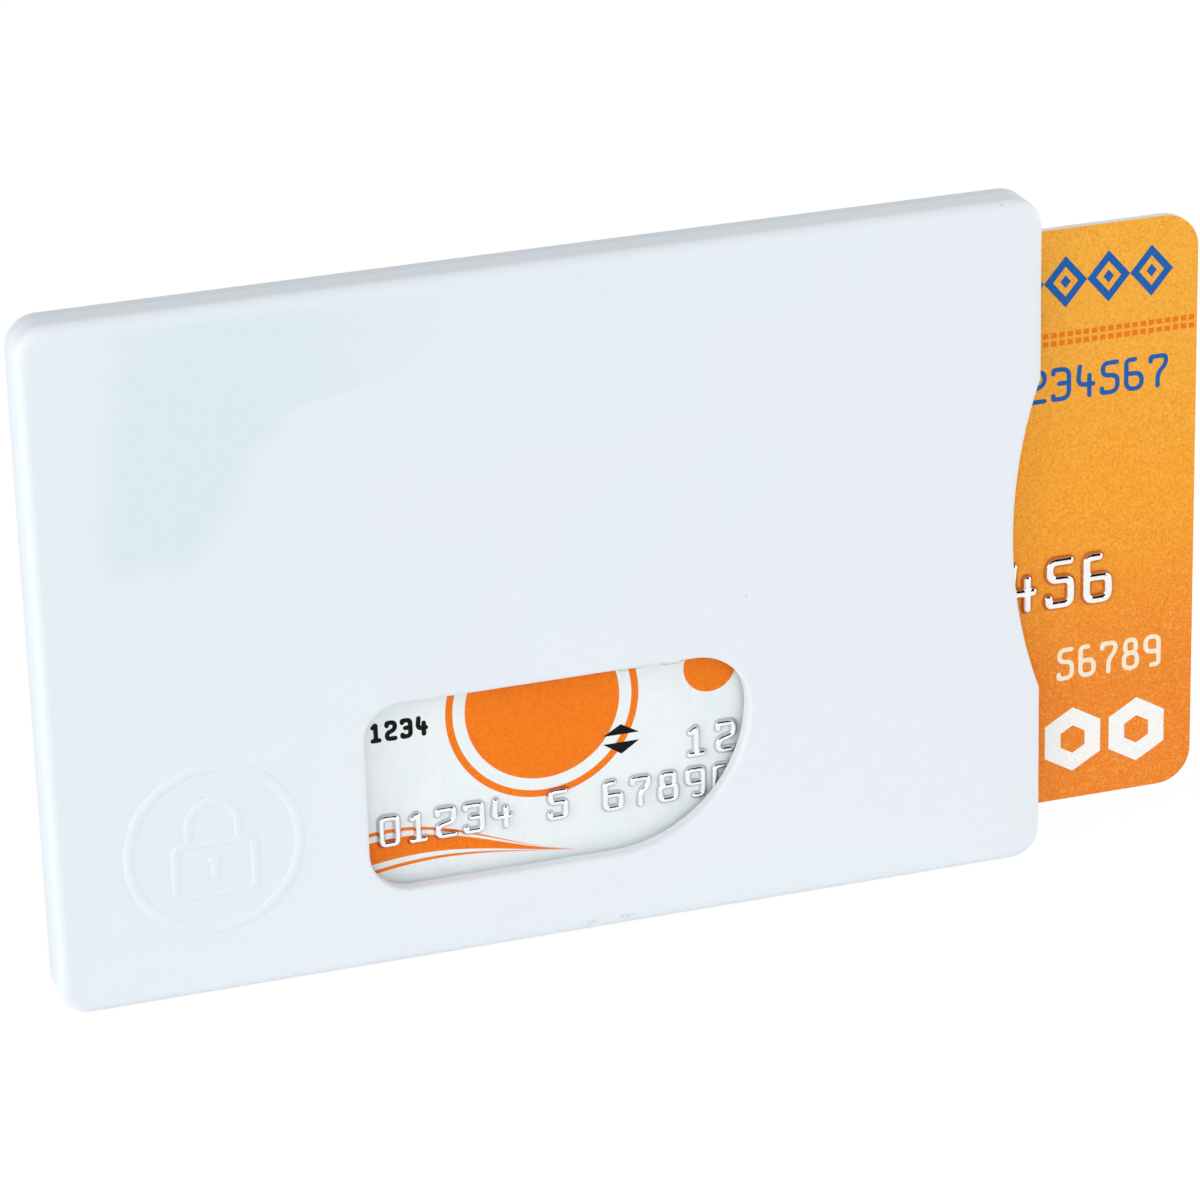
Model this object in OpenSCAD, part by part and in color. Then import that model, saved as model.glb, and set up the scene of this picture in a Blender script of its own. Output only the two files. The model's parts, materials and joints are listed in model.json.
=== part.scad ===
// Rigid sleeve for one payment card, with the card drawn part of the way out of its mouth.
// Two moulded shells meet at a seam around the rim. Between them is a slot with rails for the
// card's edges, and a foil against each wall screens the card's antenna.
// The sleeve stands on its long edge: X runs from the closed end to the mouth, the front faces -Y.

/* [Card] */
// Length of the card
card_w = 85.6; // [82:0.1:90]
// Height of the card
card_h = 53.98; // [50:0.01:58]
// Radius of the card's corners
card_r = 3.18; // [2.5:0.01:5]
// Thickness of each clear overlay sheet
overlay_t = 0.05; // [0.05:0.01:0.08]
// Thickness of each white core sheet
core_t = 0.25; // [0.22:0.01:0.32]
// Thickness of the sheet that carries the antenna
inlay_t = 0.16; // [0.14:0.01:0.24]
// How far the card is drawn out, from fully home
draw_out = 16.8; // [0:0.1:60]
// How far the card sits above the middle of its slot
card_lift = 0.25; // [-0.3:0.05:0.3]

/* [Shells] */
// Thickness of the front and back walls
wall_t = 1.3; // [1.2:0.1:2]
// Width of the rim along each long edge
side_rim = 3.6; // [3.4:0.1:5]
// Width of the rim at the closed end
end_rim = 2.6; // [2.4:0.1:5]
// Gap between the card and the rim on each long edge
side_gap = 0.41; // [0.35:0.01:0.7]
// Gap between the card and the closed end when the card is home
end_gap = 0.3; // [0.2:0.05:1]
// How far the card's end lies behind the mouth when the card is home
mouth_lip = 1.5; // [1:0.1:2.5]
// Room for raised digits in front of the card, and the same behind it
relief = 0.72; // [0.6:0.01:1]
// Radius of the sleeve's corners, seen from the front
corner_r = 2.8; // [2.4:0.1:4]
// Radius of the round along the outer edges
edge_r = 1.0; // [0.6:0.1:1.1]

/* [Rails] */
// Width of the rails that carry the card's edges
rail_w = 2.2; // [1.6:0.1:2.6]
// Running gap between a rail and the card
rail_gap = 0.1; // [0.08:0.01:0.2]
// Radius of the slot's inner corners
slot_r = 0.8; // [0.5:0.1:2]
// Gap left between a grip pip and the card
pip_gap = 0.03; // [0.02:0.01:0.06]
// Radius of the ball that a grip pip is cut from
pip_r = 1.5; // [1:0.1:2]
// Distance of the first pair of grip pips from the mouth
pip_inset = 6; // [4:0.5:12]
// Distance between the pairs of grip pips
pip_pitch = 12; // [6:1:20]

/* [Seam] */
// Distance of the seam behind the front face
seam_depth = 2.6; // [2.2:0.1:2.7]
// Half width of the shadow groove along the seam
seam_v = 0.06; // [0.04:0.01:0.2]
// Width of the tongue around the rim
tongue_w = 0.7; // [0.5:0.1:0.9]
// Height of the tongue
tongue_h = 0.5; // [0.3:0.1:0.6]
// Distance of the tongue's middle from the outer face
tongue_inset = 1.3; // [1.2:0.05:1.4]
// Distance of the tongue's ends from the mouth
tongue_stop = 3.5; // [2.5:0.5:8]
// Gap around the tongue and the pins
fit_gap = 0.05; // [0.03:0.01:0.1]
// Diameter of the locating pins
pin_d = 1.0; // [0.8:0.1:1.2]
// Height of the locating pins
pin_h = 0.8; // [0.5:0.1:0.9]
// Locating pins along each long edge
pin_count = 4; // [2:1:6]
// Distance of the outer pins from the ends of the sleeve
pin_end = 10; // [8:1:20]

/* [Thumb window] */
// Distance of the window from the closed end
window_x = 27.75; // [20:0.25:40]
// Height of the window above the bottom edge
window_y = 6.85; // [6.6:0.05:12]
// Length of the window
window_w = 34.65; // [28:0.05:40]
// Height of the window
window_h = 17.4; // [16:0.05:22]
// Radius of the corner towards the mouth, at the top
window_r_mouth_top = 4.8; // [2:0.1:5]
// Radius of the corner towards the closed end, at the top
window_r_end_top = 3.2; // [2:0.1:5]
// Radius of the corner towards the closed end, at the bottom
window_r_end_bottom = 3.7; // [2:0.1:5]
// Radius of the round on the window's outer edge
window_round = 0.4; // [0.2:0.1:0.7]

/* [Mouth] */
// Width of the finger notch along the mouth, with the blends at its ends
notch_w = 31; // [20:1:36]
// Depth of the finger notch
notch_d = 2.7; // [1.5:0.1:3]
// Radius of the blends that turn the notch into the mouth
notch_blend = 2.5; // [1:0.1:4]
// Radius of the round on the notch's outer edges
notch_round = 0.5; // [0.2:0.1:0.8]
// Length of the lead-in behind the mouth
lead_run = 0.8; // [0.5:0.1:1.5]
// Rise of the lead-in on the inner walls
lead_wall = 0.15; // [0.1:0.05:0.2]
// Rise of the lead-in on the rails
lead_rail = 0.3; // [0.2:0.05:0.4]

/* [Shields] */
// Thickness of the aluminium foils
foil_t = 0.08; // [0.05:0.01:0.12]
// Thickness of the film that bonds each foil to its wall
film_t = 0.05; // [0.03:0.01:0.08]
// Depth of the bed below the inner wall, beyond film and foil
bed_spare = 0.02; // [0.01:0.01:0.05]
// Gap between a foil and the edges of its bed
foil_gap = 0.1; // [0.05:0.05:0.3]
// Distance of a bed from the rails
bed_inset = 1.2; // [0.6:0.1:2.5]
// Distance of a bed from the mouth
bed_mouth = 4.6; // [4:0.1:8]
// Radius of the bed's corners
bed_r = 1.5; // [0.8:0.1:3]
// Width of the collar between the window and the foil
collar_w = 0.8; // [0.6:0.1:2]

/* [Emblem ring] */
// Distance of the ring's middle from the closed end
ring_x = 14.1; // [12:0.1:18]
// Height of the ring's middle above the bottom edge
ring_y = 13.7; // [12:0.1:40]
// Radius of the ring, to the middle of its bead
ring_r = 7.5; // [5:0.1:8]
// Width of the bead
bead_w = 1.0; // [0.6:0.1:1.4]
// Height of the bead above the front face
bead_h = 0.15; // [0.1:0.05:0.2]

/* [Chip module] */
// Distance of the module's middle from the card's inner end
module_x = 15.06; // [12:0.01:20]
// Distance of the module's middle below the card's upper edge
module_top = 23.89; // [18:0.01:28]
// Length of the contact plate
module_w = 13.0; // [11:0.1:14]
// Height of the contact plate
module_h = 11.8; // [10:0.1:13]
// Radius of the module's corners
module_r = 2.0; // [1:0.1:2.5]
// Thickness of the contact plate
contact_t = 0.04; // [0.03:0.01:0.05]
// Width of the gaps between the contacts
contact_gap = 0.25; // [0.15:0.05:0.4]
// Width of the field between the two rows of contacts
contact_field = 4.6; // [3:0.1:5.5]
// Contacts in each row
contact_rows = 4; // [3:1:4]
// Thickness of the module's board
board_t = 0.11; // [0.08:0.01:0.12]
// Thickness of the adhesive frame under the board
adhesive_t = 0.04; // [0.03:0.01:0.05]
// Gap around the module in its cavity
module_gap = 0.06; // [0.03:0.01:0.1]
// Length of the resin block that seals the chip
resin_w = 8.4; // [6:0.1:9]
// Height of the resin block
resin_h = 7.6; // [6:0.1:8.4]
// Thickness of the resin block
resin_t = 0.4; // [0.35:0.01:0.42]
// Radius of the resin block's corners
resin_r = 1.6; // [0.8:0.1:2.5]
// Room around the resin block in its cavity
resin_gap = 0.3; // [0.1:0.05:0.5]
// Length of the silicon chip
die_w = 3.0; // [1.5:0.1:4]
// Height of the silicon chip
die_h = 2.4; // [1.5:0.1:4]
// Thickness of the silicon chip
die_t = 0.18; // [0.1:0.01:0.25]

/* [Antenna] */
// Turns of the antenna
turns = 4; // [2:1:5]
// Width of a track
track_w = 0.5; // [0.3:0.05:0.6]
// Distance from track to track
track_pitch = 1.0; // [0.8:0.1:1.1]
// Thickness of a track
track_t = 0.05; // [0.04:0.01:0.06]
// Distance of the outer turn from the card's edges
coil_inset = 3.0; // [2:0.1:3.5]
// Radius of the bends, at the middle of the track
bend_r = 2.0; // [1:0.1:3]
// Height of each antenna end above or below the module's middle
lead_y = 2.5; // [2:0.1:4]
// Size of the square pads at the antenna's ends
pad_w = 0.9; // [0.7:0.1:1.2]
// Diameter of the rivets that join the bridge to the antenna
rivet_d = 0.4; // [0.3:0.05:0.6]

/* [Back of the card] */
// Width of the magnetic stripe
stripe_w = 12.7; // [9:0.1:13]
// Distance of the magnetic stripe from the card's upper edge
stripe_top = 4.8; // [4:0.1:6]
// Thickness of the magnetic stripe
stripe_t = 0.02; // [0.02:0.01:0.03]
// Length of the signature panel
panel_w = 62; // [40:1:74]
// Height of the signature panel
panel_h = 9; // [6:0.5:12]
// Distance of the signature panel from the card's inner end
panel_x = 14; // [4:1:20]
// Distance of the signature panel below the magnetic stripe
panel_drop = 3; // [1:0.5:6]
// Thickness of the signature panel
panel_t = 0.02; // [0.02:0.01:0.03]

/* [Hidden] */
$fn = 64;
// How far a cutting shape runs past the surface that it opens
cut = 1;
// Corners whose arcs meet have no straight run between them
shortest_run = 0.01;

// The sleeve's outer size follows from the card and the walls around it
card_t = 2 * overlay_t + 2 * core_t + inlay_t;
slot_h = card_h + 2 * side_gap;
sleeve_w = end_rim + end_gap + card_w + mouth_lip;
sleeve_h = slot_h + 2 * side_rim;
sleeve_t = wall_t + relief + card_t + relief + wall_t;

// Levels above the card's mid-plane, which is also the sleeve's
face_z = sleeve_t / 2;
wall_z = face_z - wall_t;
rail_z = card_t / 2 + rail_gap;
seam_z = face_z - seam_depth;

// The sleeve's length is centred on X = 0 and its lower edge lies at Y = 0
end_x = -sleeve_w / 2;
mouth_x = sleeve_w / 2;
outline = [end_x, 0, mouth_x, sleeve_h];
slot_box = [end_x + end_rim, side_rim, mouth_x + cut + slot_r, sleeve_h - side_rim];
relief_box = [slot_box[0] + rail_w, slot_box[1] + rail_w, slot_box[2], slot_box[3] - rail_w];
bed_box = [relief_box[0] + bed_inset, relief_box[1] + bed_inset,
    mouth_x - bed_mouth, relief_box[3] - bed_inset];
bed_t = film_t + foil_t + bed_spare;
window_box = [end_x + window_x, window_y, end_x + window_x + window_w, window_y + window_h];
// The wide sweep at the window's lower corner runs up to the corner above it
window_radii = [window_r_mouth_top, window_r_end_top, window_r_end_bottom,
    window_h - window_r_mouth_top];
// The notch's arc meets each blend where the line between their middles crosses them
notch_reach = (pow(notch_w / 2, 2) + pow(notch_d, 2)) / (2 * notch_d);
notch_r = notch_reach - notch_blend;
notch_turn = asin(notch_w / 2 / notch_reach);
bead_r = (pow(bead_w / 2, 2) + pow(bead_h, 2)) / (2 * bead_h);
pin_y = (tongue_inset + tongue_w / 2 + side_rim) / 2;
pin_step = (sleeve_w - 2 * pin_end) / (pin_count - 1);

// The card, from its inner lower corner
card_x = end_x + end_rim + end_gap + draw_out;
card_y = side_rim + side_gap + card_lift;
card_box = [0, 0, card_w, card_h];
// Levels in the card, counted from its back
back_core_z = overlay_t;
inlay_z = back_core_z + core_t;
front_core_z = inlay_z + inlay_t;
front_overlay_z = front_core_z + core_t;
board_z = card_t - contact_t - board_t;
resin_z = board_z - resin_t;
shelf_z = board_z - adhesive_t;
module_y = card_h - module_top;
module_box = [module_x - module_w / 2, module_y - module_h / 2,
    module_x + module_w / 2, module_y + module_h / 2];
resin_box = [module_x - resin_w / 2, module_y - resin_h / 2,
    module_x + resin_w / 2, module_y + resin_h / 2];
stripe_y = card_h - stripe_top - stripe_w;
panel_y = stripe_y - panel_drop - panel_h;

// The antenna's path, as the corners of a square spiral that winds inwards
coil_box = [coil_inset, coil_inset, card_w - coil_inset, card_h - coil_inset];
inner_lead_x = module_box[0] - module_gap - pad_w;
track_z = front_core_z - track_t;
coil_start = [coil_box[0], module_y - lead_y];
coil_end = [coil_box[0] + turns * track_pitch, module_y + lead_y];
coil_points = concat([coil_start], [for (k = [0:turns - 1], c = coil_turn(k)) c], [coil_end]);

function coil_turn(k) = [
    [coil_box[0] + k * track_pitch, coil_box[3] - k * track_pitch],
    [coil_box[2] - k * track_pitch, coil_box[3] - k * track_pitch],
    [coil_box[2] - k * track_pitch, coil_box[1] + k * track_pitch],
    [coil_box[0] + (k + 1) * track_pitch, coil_box[1] + k * track_pitch]];

// A box is [low x, low y, high x, high y]; radii start at its upper right corner and turn left
function grow(b, d) = [b[0] - d, b[1] - d, b[2] + d, b[3] + d];
function same(r) = [r, r, r, r];
function more(radii, d) = [for (r = radii) r + d];
function middles(b, r) = [
    [b[2] - r[0], b[3] - r[0]],
    [b[0] + r[1], b[3] - r[1]],
    [b[0] + r[2], b[1] + r[2]],
    [b[2] - r[3], b[1] + r[3]]];
function toward(a) = [cos(a), sin(a)];

// Stands the plate up: its front, drawn facing +Z, turns to face -Y
module upright() {
    rotate([90, 0, 0]) children();
}

// Flat plate with its own radius at each corner
module plate(b, r) {
    m = middles(b, r);
    polygon([for (i = [0:3], a = [0, 90]) m[i] + r[i] * toward(90 * i + a)]);
    for (i = [0:3]) translate(m[i]) rotate(90 * i) intersection() {
        circle(r[i]);
        square(r[i]);
    }
}

// Sweeps a section around a plate's outline: the section's X points outwards, its Y along +Z
module around(b, r) {
    m = middles(b, r);
    for (i = [0:3]) {
        next = (i + 1) % 4;
        side_start = m[next] + r[next] * toward(90 * next);
        side_end = m[i] + r[i] * toward(90 * next);
        translate(m[i]) rotate(90 * i) rotate_extrude(angle = 90) translate([r[i], 0]) children();
        run = norm(side_end - side_start);
        if (run > shortest_run) translate(side_start) rotate([90, 0, 90 * next])
            linear_extrude(run) children();
    }
}

// Upright wall section with a quarter round at its top, which overlaps the plate inside it
module rounded_section(h) {
    translate([-edge_r / 2, 0]) square([edge_r / 2, h]);
    square([edge_r, h - edge_r]);
    translate([0, h - edge_r]) intersection() {
        circle(edge_r);
        square(edge_r);
    }
}

// Half of the sleeve's outer form, flat at Z = 0 and round-edged at height h
module half_form(h) {
    b = grow(outline, -edge_r);
    r = same(corner_r - edge_r);
    linear_extrude(h) plate(b, r);
    around(b, r) rounded_section(h);
}

// The slot, from the mid-plane to the inner wall: rails' groove, relief, foil bed and lead-ins
module slot_half() {
    translate([0, 0, -face_z]) linear_extrude(face_z + rail_z) plate(slot_box, same(slot_r));
    linear_extrude(wall_z) plate(relief_box, same(slot_r));
    lead_in(rail_z, lead_rail, slot_box);
    lead_in(wall_z, lead_wall, relief_box);
}

// Wedge that opens a slot towards the mouth
module lead_in(z, rise, b) {
    slope = rise / lead_run;
    translate([0, b[3], 0]) rotate([90, 0, 0]) linear_extrude(b[3] - b[1])
        polygon([[mouth_x - lead_run, z - rise], [mouth_x - lead_run, z],
            [mouth_x + cut, z + slope * (lead_run + cut)], [mouth_x + cut, z - rise]]);
}

// Section of a cutter beside a wall that starts at X = edge and lies on the given side of it
module edge_cutter(edge, side, r) {
    difference() {
        translate([edge - (side > 0 ? 2 * notch_d : r), -face_z - cut])
            square([2 * notch_d + r, sleeve_t + 2 * cut]);
        translate([edge - (side > 0 ? 0 : r), r - face_z]) square([r, sleeve_t - 2 * r]);
        for (end = [-1, 1]) translate([edge + side * r, end * (face_z - r)]) circle(r);
    }
}

// Finger notch through both walls: a wide arc with a blend into the mouth at each end
module notch() {
    translate([mouth_x - notch_d + notch_r, sleeve_h / 2, 0]) {
        rotate_extrude() edge_cutter(notch_r, 1, notch_round);
        for (turn = [-notch_turn, notch_turn]) rotate(180 + turn) translate([notch_reach, 0])
            rotate(turn < 0 ? 180 : 180 - notch_turn) rotate_extrude(angle = notch_turn)
                edge_cutter(notch_blend, -1, notch_round);
    }
}

// Thumb window through the front wall, with its outer edge rounded
module window() {
    linear_extrude(face_z + cut) plate(window_box, window_radii);
    around(window_box, window_radii) difference() {
        translate([0, face_z - window_round]) square([window_round, window_round + cut]);
        translate([window_round, face_z - window_round]) circle(window_round);
    }
}

// Shadow groove along the seam
module seam_groove() {
    translate([0, 0, seam_z]) around(outline, same(corner_r))
        polygon([[-seam_v, 0], [seam_v, 2 * seam_v], [seam_v, -2 * seam_v]]);
}

// Plan of the tongue along the three closed sides, grown by a gap
module tongue_plan(gap) {
    outer = tongue_w / 2 - tongue_inset + gap;
    inner = outer - tongue_w - 2 * gap;
    difference() {
        plate(grow(outline, outer), same(corner_r + outer));
        plate(grow(outline, inner), same(corner_r + inner));
        translate([mouth_x - tongue_stop + gap, 0]) square([tongue_stop, sleeve_h]);
    }
}

// Places the locating pins or their sockets, in the rim between the tongue and the slot
module at_pins() {
    for (i = [0:pin_count - 1], y = [pin_y, sleeve_h - pin_y])
        translate([end_x + pin_end + i * pin_step, y, seam_z]) children();
}

// Plan of a foil bed behind the front wall, which leaves a collar around the window
module front_bed_plan(gap) {
    difference() {
        plate(grow(bed_box, -gap), same(bed_r - gap));
        plate(grow(window_box, collar_w + gap), more(window_radii, collar_w + gap));
    }
}

module back_bed_plan(gap) {
    plate(grow(bed_box, -gap), same(bed_r - gap));
}

module front_shell() {
    color("#e9f0f6") upright() {
        difference() {
            translate([0, 0, seam_z]) half_form(seam_depth);
            slot_half();
            translate([0, 0, wall_z - cut / 2]) linear_extrude(cut / 2 + bed_t) front_bed_plan(0);
            window();
            notch();
            seam_groove();
            translate([0, 0, seam_z - cut]) linear_extrude(cut + tongue_h + fit_gap)
                tongue_plan(fit_gap);
        }
        at_pins() translate([0, 0, -pin_h]) cylinder(d = pin_d, h = pin_h + edge_r / 2);
        emblem_ring();
    }
}

// Low raised bead in a circle on the front face
module emblem_ring() {
    translate([end_x + ring_x, ring_y, face_z]) rotate_extrude() translate([ring_r, 0])
        intersection() {
            translate([0, bead_h - bead_r]) circle(bead_r);
            translate([-bead_w, -bead_h]) square([2 * bead_w, 2 * bead_h + cut]);
        }
}

module back_shell() {
    color("#e3eaf0") upright() {
        difference() {
            translate([0, 0, seam_z]) mirror([0, 0, 1]) half_form(sleeve_t - seam_depth);
            mirror([0, 0, 1]) slot_half();
            translate([0, 0, -wall_z - bed_t]) linear_extrude(cut / 2 + bed_t) back_bed_plan(0);
            notch();
            seam_groove();
            at_pins() translate([0, 0, -pin_h - fit_gap])
                cylinder(d = pin_d + 2 * fit_gap, h = pin_h + fit_gap + cut);
        }
        translate([0, 0, seam_z - edge_r / 2]) linear_extrude(edge_r / 2 + tongue_h) tongue_plan(0);
        grip_pips();
    }
}

// Low pips on the back rails that press the card forward near the mouth
module grip_pips() {
    pip_z = -rail_z + rail_gap - pip_gap - pip_r;
    for (i = [0, 1], y = [side_rim + rail_w / 2, sleeve_h - side_rim - rail_w / 2])
        translate([mouth_x - pip_inset - i * pip_pitch, y, 0]) intersection() {
            translate([0, 0, pip_z]) sphere(pip_r);
            translate([0, 0, -rail_z - rail_gap]) cylinder(d = rail_w, h = 2 * rail_gap);
        }
}

module front_bond_film() {
    color("#c9c2ae") upright() translate([0, 0, wall_z + bed_t - film_t])
        linear_extrude(film_t) front_bed_plan(foil_gap);
}

module front_shield() {
    color("#b9bec4") upright() translate([0, 0, wall_z + bed_t - film_t - foil_t])
        linear_extrude(foil_t) front_bed_plan(foil_gap);
}

module back_bond_film() {
    color("#c9c2ae") upright() translate([0, 0, -wall_z - bed_t])
        linear_extrude(film_t) back_bed_plan(foil_gap);
}

module back_shield() {
    color("#b9bec4") upright() translate([0, 0, -wall_z - bed_t + film_t])
        linear_extrude(foil_t) back_bed_plan(foil_gap);
}

// Places a piece of the card, whose back lies at Z = 0 and whose inner lower corner is its origin
module in_card() {
    upright() translate([card_x, card_y, -card_t / 2]) children();
}

// One sheet of the card
module sheet(z, t) {
    translate([0, 0, z]) linear_extrude(t) plate(card_box, same(card_r));
}

// Stepped cavity for the chip module, open at the card's front
module module_cavity() {
    translate([0, 0, shelf_z]) linear_extrude(card_t)
        plate(grow(module_box, module_gap), same(module_r + module_gap));
    translate([0, 0, resin_z - resin_gap / 2]) linear_extrude(card_t)
        plate(grow(resin_box, resin_gap), same(resin_r + resin_gap));
}

module card_front_overlay() {
    color("#f0a238") in_card() difference() {
        sheet(front_overlay_z, overlay_t);
        module_cavity();
    }
}

module card_front_core() {
    color("#f4f1ea") in_card() difference() {
        sheet(front_core_z, core_t);
        module_cavity();
    }
}

module card_back_core() {
    color("#f1eee7") in_card() difference() {
        sheet(back_core_z, core_t);
        module_cavity();
    }
}

module card_back_overlay() {
    color("#eceae4") in_card() difference() {
        sheet(0, overlay_t);
        stripe_form();
        panel_form();
    }
}

module antenna_inlay() {
    color("#e6dcc4") in_card() difference() {
        sheet(inlay_z, inlay_t);
        module_cavity();
        translate([0, 0, track_z]) linear_extrude(track_t + cut) coil_plan();
        bridge_form();
    }
}

// One straight leg of the antenna, its ends held back from the corners by a and b
module leg(p, q, a, b) {
    d = (q - p) / norm(q - p);
    translate(p + a * d) rotate(atan2(d[1], d[0])) translate([0, -track_w / 2])
        square([norm(q - p) - a - b, track_w]);
}

// One bend of the antenna at q, for a track that comes from p and turns right
module bend(p, q) {
    d = (q - p) / norm(q - p);
    turn = atan2(d[1], d[0]);
    translate(q - bend_r * d + bend_r * [d[1], -d[0]]) intersection() {
        difference() {
            circle(bend_r + track_w / 2);
            circle(bend_r - track_w / 2);
        }
        rotate(turn) square(bend_r + track_w);
    }
}

module pad_at(p) {
    translate(p - [pad_w, pad_w] / 2) square(pad_w);
}

// The antenna seen from the front: a spiral, a pad at its outer end and a lead at its inner end
module coil_plan() {
    last = len(coil_points) - 1;
    for (i = [0:last - 1])
        leg(coil_points[i], coil_points[i + 1], i == 0 ? 0 : bend_r, i == last - 1 ? 0 : bend_r);
    for (i = [1:last - 1]) bend(coil_points[i - 1], coil_points[i]);
    pad_at(coil_start);
    translate(coil_end - [track_w / 2, track_w / 2])
        square([inner_lead_x - coil_end[0] + track_w / 2, track_w]);
    pad_at([inner_lead_x, coil_end[1]]);
    pad_at([inner_lead_x, coil_start[1]]);
}

module antenna_coil() {
    color("#b8733f") in_card() translate([0, 0, track_z]) linear_extrude(track_t) coil_plan();
}

// Strap behind the antenna from its outer end to the second pad, with a rivet at each end
module bridge_form() {
    ends = [coil_start, [inner_lead_x, coil_start[1]]];
    translate([0, 0, inlay_z]) linear_extrude(track_t) {
        translate(coil_start - [0, track_w / 2])
            square([inner_lead_x - coil_start[0], track_w]);
        for (p = ends) pad_at(p);
    }
    for (p = ends) translate([p[0], p[1], inlay_z]) cylinder(d = rivet_d, h = track_z - inlay_z);
}

module antenna_bridge() {
    color("#a8642f") in_card() bridge_form();
}

// One contact: the part of the module's outline that lies in a box, with half a gap on each side
module contact(b) {
    intersection() {
        plate(module_box, same(module_r));
        translate([b[0] + contact_gap / 2, b[1] + contact_gap / 2])
            square([b[2] - b[0] - contact_gap, b[3] - b[1] - contact_gap]);
    }
}

// Two rows of contacts with a plain field between them
module contact_plate() {
    field_lo = module_x - contact_field / 2;
    field_hi = module_x + contact_field / 2;
    low = module_box[1] - contact_gap;
    high = module_box[3] + contact_gap;
    step = (high - low) / contact_rows;
    color("#cfa75a") in_card() translate([0, 0, card_t - contact_t]) linear_extrude(contact_t) {
        contact([field_lo, low, field_hi, high]);
        for (i = [0:contact_rows - 1]) {
            contact([module_box[0] - contact_gap, low + i * step, field_lo, low + (i + 1) * step]);
            contact([field_hi, low + i * step, module_box[2] + contact_gap, low + (i + 1) * step]);
        }
    }
}

module module_board() {
    color("#3f4a2e") in_card() translate([0, 0, board_z]) linear_extrude(board_t)
        plate(module_box, same(module_r));
}

// Frame of adhesive between the board and the shelf of its cavity
module module_adhesive() {
    color("#d8d2bd") in_card() translate([0, 0, shelf_z]) linear_extrude(adhesive_t) difference() {
        plate(module_box, same(module_r));
        plate(grow(resin_box, resin_gap), same(resin_r + resin_gap));
    }
}

module die_form() {
    translate([module_x - die_w / 2, module_y - die_h / 2, board_z - die_t])
        cube([die_w, die_h, die_t]);
}

module chip_die() {
    color("#5b5f66") in_card() die_form();
}

module chip_resin() {
    color("#232323") in_card() difference() {
        translate([0, 0, resin_z]) linear_extrude(resin_t) plate(resin_box, same(resin_r));
        die_form();
    }
}

module stripe_form() {
    translate([0, stripe_y, 0]) cube([card_w, stripe_w, stripe_t]);
}

module magnetic_stripe() {
    color("#2b2422") in_card() stripe_form();
}

module panel_form() {
    translate([panel_x, panel_y, 0]) cube([panel_w, panel_h, panel_t]);
}

module signature_panel() {
    color("#f7f6f2") in_card() panel_form();
}

front_shell();
back_shell();
front_bond_film();
front_shield();
back_bond_film();
back_shield();
card_front_overlay();
card_front_core();
antenna_inlay();
antenna_coil();
antenna_bridge();
card_back_core();
card_back_overlay();
contact_plate();
module_board();
module_adhesive();
chip_die();
chip_resin();
magnetic_stripe();
signature_panel();
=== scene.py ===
import json
import math

import bpy
import numpy as np
from mathutils import Matrix, Vector


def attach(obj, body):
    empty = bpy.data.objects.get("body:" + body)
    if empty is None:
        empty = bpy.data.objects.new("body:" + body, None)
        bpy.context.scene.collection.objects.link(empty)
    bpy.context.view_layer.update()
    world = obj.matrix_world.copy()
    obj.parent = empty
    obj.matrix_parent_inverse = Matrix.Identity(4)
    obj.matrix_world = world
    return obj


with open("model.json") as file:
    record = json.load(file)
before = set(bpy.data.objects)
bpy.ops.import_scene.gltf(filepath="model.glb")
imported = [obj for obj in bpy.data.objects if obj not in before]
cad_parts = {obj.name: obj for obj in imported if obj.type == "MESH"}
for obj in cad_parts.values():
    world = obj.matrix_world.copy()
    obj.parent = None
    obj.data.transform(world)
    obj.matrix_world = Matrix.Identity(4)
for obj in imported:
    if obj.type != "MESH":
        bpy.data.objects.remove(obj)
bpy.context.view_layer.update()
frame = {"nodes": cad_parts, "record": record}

# Sizes and places are in mm unless a comment says otherwise. Blender's own are in metres.
MM = 0.001
# The card's inner end, lower edge and front face. On it, u runs from the inner end and v from the lower edge.
CARD_X, CARD_Z, CARD_Y = -25.3, 4.26, -0.38
# The sleeve's front face, and the centre of the ring on it
SLEEVE_Y = -2.4
RING_X, RING_Z = -30.9, 13.7
# Printed ink stands this far in front of the card, and its rim reaches this far into it
INK, INK_FOOT = 0.012, 0.005

# The photo's camera, solved from the sleeve's outline and the card's visible end
CAMERA_TURN, CAMERA_RISE, CAMERA_ROLL = -17.6293, 22.186, -1.6587  # degrees
CAMERA_DISTANCE, CAMERA_LENS, CAMERA_SENSOR = 443.06, 155.51, 36
CAMERA_TARGET = (4.0498, SLEEVE_Y, 31.1171)

# Soft square lamps: azimuth and elevation in degrees, size in metres, level, and whether they show in gloss
LAMP_DISTANCE = 1.0
LAMPS = {
    "front": (-8, 14, 0.9, 0.17, True),
    "left": (-76, 12, 0.8, 0.58, True),
    "right": (86, 14, 0.8, 0.42, True),
    "rear": (178, 7, 0.4, 0.20, False),
}
# Light from the world: its level at the horizon, its change towards +Y and upwards, and its least level
SKY_LEVEL, SKY_BACK, SKY_UP, SKY_LEAST = 0.515, -0.20, 0.06, 0.05
# The floor: half its length in metres, its glow as the camera sees it, that glow's share, and its own light
FLOOR_HALF, FLOOR_GLOW, FLOOR_SHARE, FLOOR_LIT = 4, 1.05, 0.82, 0.11


# Node helpers

def linear(r, g, b):
    """An sRGB colour in 0..255 as a linear colour."""
    return [c / 255 / 12.92 if c <= 10 else ((c / 255 + 0.055) / 1.055) ** 2.4 for c in (r, g, b)]


def tinted(colour, *shares):
    """A colour with each channel times its own share."""
    return [c * f for c, f in zip(colour, shares)]


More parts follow.
